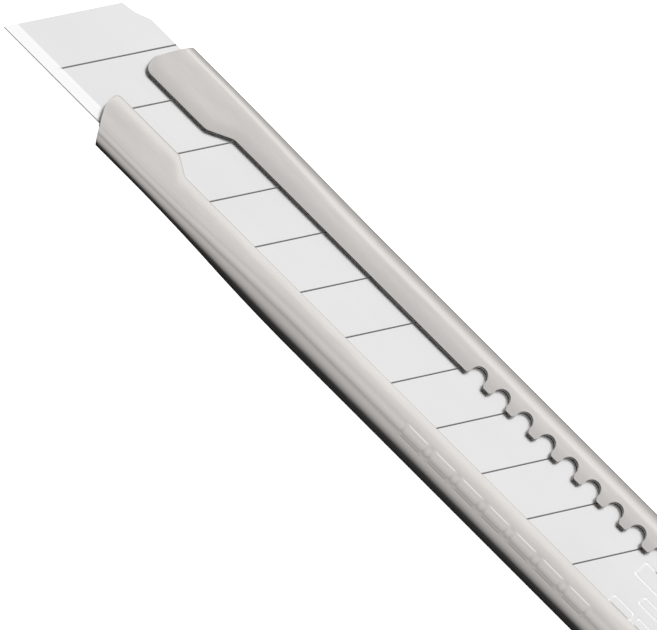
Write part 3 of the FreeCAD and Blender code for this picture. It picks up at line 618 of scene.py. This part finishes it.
def mixColour(tree, factor, a, b):
    node = tree.nodes.new("ShaderNodeMix")
    node.data_type = "RGBA"
    # the sixth and seventh inputs are the two colours, the second output their mix
    for socket, value in ((node.inputs["Factor"], factor), (node.inputs[6], a), (node.inputs[7], b)):
        if isinstance(value, (int, float, tuple)):
            socket.default_value = value
        else:
            tree.links.new(value, socket)
    return node.outputs[2]


def mapRange(tree, value, low, high, toLow, toHigh):
    node = tree.nodes.new("ShaderNodeMapRange")
    for label, number in (("From Min", low), ("From Max", high), ("To Min", toLow), ("To Max", toHigh)):
        node.inputs[label].default_value = number
    tree.links.new(value, node.inputs["Value"])
    return node.outputs[0]


def splitMillimetres(tree, coordinates):
    scaled = addStretch(tree, coordinates, 1 / mm, 1 / mm)
    node = tree.nodes.new("ShaderNodeSeparateXYZ")
    tree.links.new(scaled, node.inputs[0])
    return node.outputs["X"], node.outputs["Y"], node.outputs["Z"]


def addOutline(tree, along, across, row):
    node = tree.nodes.new("ShaderNodeGroup")
    node.node_tree = outlineDashes
    tree.links.new(along, node.inputs["Along"])
    tree.links.new(across, node.inputs["Across"])
    for label in rowLabels:
        node.inputs[label].default_value = row[label]
    return node.outputs["Mask"]


steelLook = {
    "cloud": (0.3, 0.7), "height": (0.2, 0.8), "roughSpread": 0.05, "scratchShine": 0.12,
    "bumpDistance": 0.01,
}


def makeSteel(name, k, details=None):
    # details returns a list of (mask, colour, depth) laid over the plain steel
    look = steelLook
    material, tree, shader, coordinates = newMaterial(name)
    node = tree.nodes.new("ShaderNodeGroup")
    node.node_tree = steelGrain
    node.inputs["Lines"].default_value = k["lines"]
    node.inputs["Grain"].default_value = k["grain"]
    tree.links.new(coordinates, node.inputs["Vector"])
    cloud = mapRange(tree, node.outputs["Cloud"], *look["cloud"], 0, 1)
    colour = mixColour(tree, cloud, (*k["dark"], 1), (*k["light"], 1))
    height = node.outputs["Height"]
    spread = look["roughSpread"]
    rough = mapRange(tree, height, *look["height"], k["rough"] - spread, k["rough"] + spread)
    scratch = addMath(tree, "MULTIPLY", node.outputs["Scratch"], k["worn"])
    rough = addMath(tree, "ADD", rough, addMath(tree, "MULTIPLY", scratch, -look["scratchShine"]))
    height = addMath(tree, "SUBTRACT", height, scratch)
    height = addMath(tree, "MULTIPLY", height, k["bump"])
    # soft waves left by rolling and folding, much lower and wider than the grain
    height = addMath(tree, "ADD", height, addMath(tree, "MULTIPLY", node.outputs["Cloud"], k["waves"]))
    for mask, tint, depth in details(tree, coordinates) if details else []:
        colour = mixColour(tree, mask, colour, (*tint, 1)) if tint else colour
        height = addMath(tree, "SUBTRACT", height, addMath(tree, "MULTIPLY", mask, depth))
    shader.inputs["Metallic"].default_value = 1
    tree.links.new(colour, shader.inputs["Base Color"])
    tree.links.new(rough, shader.inputs["Roughness"])
    bumpNode = tree.nodes.new("ShaderNodeBump")
    bumpNode.inputs["Strength"].default_value = 1
    bumpNode.inputs["Distance"].default_value = look["bumpDistance"] * mm
    tree.links.new(height, bumpNode.inputs["Height"])
    tree.links.new(bumpNode.outputs[0], shader.inputs["Normal"])
    return material


def useMaterial(material, *pieces):
    for piece in pieces:
        piece.data.materials.clear()
        piece.data.materials.append(material)


steelGrain = makeGrainGroup()
outlineDashes = makeOutlineGroup()

# the cut edge colour is painted shade: near black, for the shade on the sheet's edge and under the lip
handleMarks = {
    "behindNose": 54.7, "acrossAt": 4.72, "cutEdgeShadeTint": (0.015, 0.014, 0.013),
    "edgeStarts": (0.0, 0.1), "edgeEnds": (0.9, 1.0), "sideways": (0.3, 0.8), "endDark": 0.5,
    "row": {"First": 0.0, "Pitch": 2.96, "Count": 6.5, "Long": 2.3, "Tall": 1.25, "Line": 0.13},
    "depth": 4.0,
}
bladeMarks = {
    "firstLine": 4.91, "pitch": 5.0, "lean": 0.6126, "edgeY": 4.3, "bevelWide": 0.96,
    "lines": 12, "halfLine": 0.05, "lineSoft": 1.6, "lineTint": (0.40, 0.40, 0.40), "lineDepth": 0.5,
    "topSkin": 0.12,
    # the bevel's tint is a painted highlight: a little lighter than the flats, for the light its tilted face
    # catches
    "bevelSoft": (-0.02, 0.04), "bevelHighlightTint": (0.955, 0.955, 0.955), "hollow": 22.0,
    "tangBehindTip": 72.6,
    "tangRows": (
        {"y": -1.28, "First": 0.0, "Pitch": 3.9, "Count": 1.5, "Long": 3.4, "Tall": 1.3, "Line": 0.11},
        {"y": 0.54, "First": 3.4, "Pitch": 2.5, "Count": 0.5, "Long": 2.2, "Tall": 0.7, "Line": 0.1},
        {"y": 2.15, "First": 0.0, "Pitch": 2.6, "Count": 2.5, "Long": 2.2, "Tall": 0.7, "Line": 0.1},
    ),
    "edgeLine": 0.09, "edgeLineTint": (0.30, 0.30, 0.30),
    "depth": 3.5,
}


def handleDetails(tree, coordinates):
    # the cut edge is painted near black as painted shade, for its own shaded face and the gap under the lip;
    # a row of dashes is pressed into the rounded lip
    k, shape = handleMarks, handleShape
    node = tree.nodes.new("ShaderNodeAttribute")
    node.attribute_name = "depth"
    intoEdge = mapRange(tree, node.outputs["Fac"], *k["edgeStarts"], 0, 1)
    outOfEdge = mapRange(tree, node.outputs["Fac"], *k["edgeEnds"], 1, 0)
    # the mask of the painted shade on the cut edge, between the outer and inner faces
    paintedEdgeShade = addMath(tree, "MULTIPLY", intoEdge, outOfEdge)
    # the painted shade is darkest on the long slot edges, which face sideways, and greyer on the ends of the
    # fold
    facing = tree.nodes.new("ShaderNodeSeparateXYZ")
    tree.links.new(tree.nodes.new("ShaderNodeNewGeometry").outputs["True Normal"], facing.inputs[0])
    sideways = addMath(tree, "ABSOLUTE", facing.outputs["Y"])
    sideways = mapRange(tree, sideways, *k["sideways"], k["endDark"], 1)
    paintedEdgeShade = addMath(tree, "MULTIPLY", paintedEdgeShade, sideways)
    x, y, z = splitMillimetres(tree, coordinates)
    # distance across the lip, unrolled: the fold's centre line plus the radius times the angle
    corner, middle = shape["wide"] / 2 - shape["lipRound"], shape["deep"] - shape["lipRound"]
    outwards, upwards = addMath(tree, "SUBTRACT", y, corner), addMath(tree, "SUBTRACT", z, middle)
    angle = addMath(tree, "ARCTAN2", outwards, upwards)
    across = addMath(tree, "MULTIPLY_ADD", angle, shape["lipRound"], corner - k["acrossAt"])
    along = addMath(tree, "SUBTRACT", x, noseX - k["behindNose"])
    onLip = addMath(tree, "GREATER_THAN", z, middle)
    dashes = addMath(tree, "MULTIPLY", addOutline(tree, along, across, k["row"]), onLip)
    return [(dashes, None, k["depth"]), (paintedEdgeShade, k["cutEdgeShadeTint"], 0)]


def bladeDetails(tree, coordinates):
    # a ground bevel painted a little lighter, a painted highlight for the light its tilted face catches, the
    # leaning score lines, and dashes on the tang
    k = bladeMarks
    x, y, z = splitMillimetres(tree, coordinates)
    onTop = addMath(tree, "GREATER_THAN", z, bladeTop - k["topSkin"])
    flatEdge = k["edgeY"] - k["bevelWide"]
    bevel = mapRange(tree, y, flatEdge + k["bevelSoft"][0], flatEdge + k["bevelSoft"][1], 0, 1)
    hollow = mapRange(tree, y, flatEdge, k["edgeY"], 0, 1)
    # distance behind the first score line, which leans back by lean for each unit of Y
    behind = addMath(tree, "SUBTRACT", tipX - k["firstLine"], x)
    leanBack = addMath(tree, "MULTIPLY", addMath(tree, "SUBTRACT", k["edgeY"], y), k["lean"])
    behind = addMath(tree, "SUBTRACT", behind, leanBack)
    number = addMath(tree, "ROUND", addMath(tree, "DIVIDE", behind, k["pitch"]))
    nearest = addMath(tree, "MULTIPLY", number, k["pitch"])
    off = addMath(tree, "ABSOLUTE", addMath(tree, "SUBTRACT", behind, nearest))
    line = addMath(tree, "SUBTRACT", k["lineSoft"], addMath(tree, "DIVIDE", off, k["halfLine"]), clamp=True)
    allowed = addMath(tree, "MULTIPLY", onTop, addMath(tree, "LESS_THAN", number, k["lines"] - 0.5))
    allowed = addMath(tree, "MULTIPLY", allowed, addMath(tree, "GREATER_THAN", number, -0.5))
    allowed = addMath(tree, "MULTIPLY", allowed, addMath(tree, "LESS_THAN", y, flatEdge))
    # a thin line along the very cutting edge is painted dark
    edgeLine = mapRange(tree, y, k["edgeY"] - k["edgeLine"], k["edgeY"] - k["edgeLine"] / 2, 0, 1)
    details = [
        (bevel, k["bevelHighlightTint"], 0),
        (hollow, None, -k["hollow"]),
        (edgeLine, k["edgeLineTint"], 0),
        (addMath(tree, "MULTIPLY", line, allowed), k["lineTint"], k["lineDepth"]),
    ]
    along = addMath(tree, "SUBTRACT", x, tipX - k["tangBehindTip"])
    for row in k["tangRows"]:
        across = addMath(tree, "SUBTRACT", y, row["y"])
        dashes = addMath(tree, "MULTIPLY", addOutline(tree, along, across, row), onTop)
        details.append((dashes, None, k["depth"]))
    return details


steels = {
    "handle": {
        "light": (0.72, 0.69, 0.667), "dark": (0.69, 0.66, 0.638), "rough": 0.25,
        "lines": 0.5, "grain": 0.5, "bump": 0.35, "waves": 7.0, "worn": 0.6,
    },
    "clip": {
        "light": (0.70, 0.675, 0.65), "dark": (0.63, 0.61, 0.59), "rough": 0.30,
        "lines": 0.7, "grain": 0.3, "bump": 0.35, "waves": 1.0, "worn": 1.0,
    },
    "slider": {
        "light": (0.72, 0.69, 0.667), "dark": (0.65, 0.62, 0.60), "rough": 0.28,
        "lines": 0.4, "grain": 0.6, "bump": 0.3, "waves": 0.6, "worn": 1.0,
    },
    "inner": {
        "light": (0.58, 0.57, 0.56), "dark": (0.50, 0.49, 0.48), "rough": 0.36,
        "lines": 0.9, "grain": 0.3, "bump": 0.6, "waves": 1.0, "worn": 1.2,
    },
    "spring": {
        "light": (0.48, 0.49, 0.52), "dark": (0.40, 0.41, 0.44), "rough": 0.26,
        "lines": 0.9, "grain": 0.2, "bump": 0.5, "waves": 0.5, "worn": 0.8,
    },
    "rivet": {
        "light": (0.66, 0.66, 0.66), "dark": (0.56, 0.56, 0.56), "rough": 0.24,
        "lines": 0.2, "grain": 0.8, "bump": 0.5, "waves": 0.5, "worn": 0.8,
    },
    "blade": {
        "light": (0.945, 0.938, 0.94), "dark": (0.92, 0.913, 0.915), "rough": 0.22,
        "lines": 0.7, "grain": 0.3, "bump": 0.08, "waves": 0.3, "worn": 0.4,
    },
}
bladeNames = [name for name in nodes if name.startswith("blade_segment")] + ["blade_tang"]
innerNames = ("blade_carrier", "lock_plate", "slider_neck")
rivetNames = ("blade_stud", "spring_rivets", "slider_rivets")

useMaterial(makeSteel("handleSteel", steels["handle"], handleDetails), handle)
useMaterial(makeSteel("clipSteel", steels["clip"]), clip)
useMaterial(makeSteel("sliderSteel", steels["slider"]), slider)
useMaterial(makeSteel("springSteel", steels["spring"]), spring)
useMaterial(makeSteel("innerSteel", steels["inner"]), *[nodes[name] for name in innerNames])
useMaterial(makeSteel("rivetSteel", steels["rivet"]), *[nodes[name] for name in rivetNames])
useMaterial(makeSteel("bladeSteel", steels["blade"], bladeDetails), *[nodes[name] for name in bladeNames])
print("stage: materials")


studio = {
    "tilt": 18.0, "lens": 400.0, "film": 36.0,
    "fieldWide": 51.28, "behindTip": 33.8, "offset": 0.83, "aimHigh": 3.78,
    "sky": ((0, 0.0), (0.06, 0.02), (0.16, 0.34), (0.28, 0.54), (0.4, 0.64), (0.56, 0.62), (0.63, 0.36),
            (0.70, 0.60), (0.80, 0.72), (0.9, 0.82), (0.97, 0.84), (1, 0.72)),
    "boxAngle": 53.0, "boxAway": 0.7, "boxSize": (1.6, 0.8), "boxLevel": 0.34,
    "floorHalf": 3.0, "floorDrop": 0.05, "paper": 0.9, "paperRough": 0.9, "floorGlow": 0.85,
}


def addCamera():
    # looks down at the blade, tilted towards its edge, with the knife running across the corners
    k = studio
    tilt = math.radians(k["tilt"])
    up = np.array([0, math.cos(tilt), -math.sin(tilt)])
    back = np.array([0, math.sin(tilt), math.cos(tilt)])
    along = np.array([1.0, 0, 0])
    right = (-along - up) / math.sqrt(2)
    above = (along - up) / math.sqrt(2)
    aimY = (k["offset"] + k["aimHigh"] * math.sin(tilt)) / math.cos(tilt)
    aim = np.array([tipX - k["behindTip"], aimY, k["aimHigh"]]) * mm
    data = bpy.data.cameras.new("camera")
    data.lens, data.sensor_width = k["lens"], k["film"]
    data.clip_start, data.clip_end = 0.01, 20
    camera = bpy.data.objects.new("camera", data)
    bpy.context.scene.collection.objects.link(camera)
    place = np.eye(4)
    place[:3, 0], place[:3, 1], place[:3, 2] = right, above, back
    place[:3, 3] = aim + back * k["fieldWide"] * k["lens"] / k["film"] * mm
    camera.matrix_world = Matrix(place.tolist())
    bpy.context.scene.camera = camera


def addFloor():
    # pale paper that glows a little, so that the object casts no dark shadow on it
    k = studio
    w = k["floorHalf"]
    mesh = bpy.data.meshes.new("floor")
    mesh.from_pydata([(-w, -w, 0), (w, -w, 0), (w, w, 0), (-w, w, 0)], [], [(0, 1, 2, 3)])
    mesh.transform(Matrix.Translation((0, 0, -k["floorDrop"] * mm)))
    floor = bpy.data.objects.new("floor", mesh)
    bpy.context.scene.collection.objects.link(floor)
    material, _, shader, _ = newMaterial("floorPaper")
    shader.inputs["Base Color"].default_value = (k["paper"], k["paper"], k["paper"], 1)
    shader.inputs["Roughness"].default_value = k["paperRough"]
    shader.inputs["Emission Color"].default_value = (1, 1, 1, 1)
    shader.inputs["Emission Strength"].default_value = k["floorGlow"]
    mesh.materials.append(material)
    floor.visible_glossy = False
    floor.visible_diffuse = False


def addWorld():
    # an even sky that fades downwards: the level at each height of the direction, 0 below and 1 above
    world = bpy.data.worlds.new("studio")
    bpy.context.scene.world = world
    world.use_nodes = True
    tree = world.node_tree
    tree.nodes.clear()
    out = tree.nodes.new("ShaderNodeOutputWorld")
    light = tree.nodes.new("ShaderNodeBackground")
    tree.links.new(light.outputs[0], out.inputs[0])
    split = tree.nodes.new("ShaderNodeSeparateXYZ")
    tree.links.new(tree.nodes.new("ShaderNodeTexCoord").outputs["Generated"], split.inputs[0])
    ramp = tree.nodes.new("ShaderNodeValToRGB")
    tree.links.new(addMath(tree, "MULTIPLY_ADD", split.outputs["Z"], 0.5, 0.5), ramp.inputs[0])
    elements = ramp.color_ramp.elements
    while len(elements) < len(studio["sky"]):
        elements.new(0.5)
    for element, (place, level) in zip(elements, studio["sky"]):
        element.position, element.color = place, (level, level, level, 1)
    tree.links.new(ramp.outputs[0], light.inputs["Color"])


def addSoftBox():
    # one long soft light on the lock side; its power gives the level wanted: pi * area * level
    k = studio
    angle = math.radians(k["boxAngle"])
    data = bpy.data.lights.new("softBox", "AREA")
    data.shape = "RECTANGLE"
    data.size, data.size_y = k["boxSize"]
    data.energy = math.pi * data.size * data.size_y * k["boxLevel"]
    light = bpy.data.objects.new("softBox", data)
    bpy.context.scene.collection.objects.link(light)
    light.matrix_world = Matrix.Rotation(angle, 4, "X") @ Matrix.Translation((0, 0, k["boxAway"]))


addCamera()
addFloor()
addWorld()
addSoftBox()
bpy.context.scene.view_settings.view_transform = "Standard"
print("stage: studio")
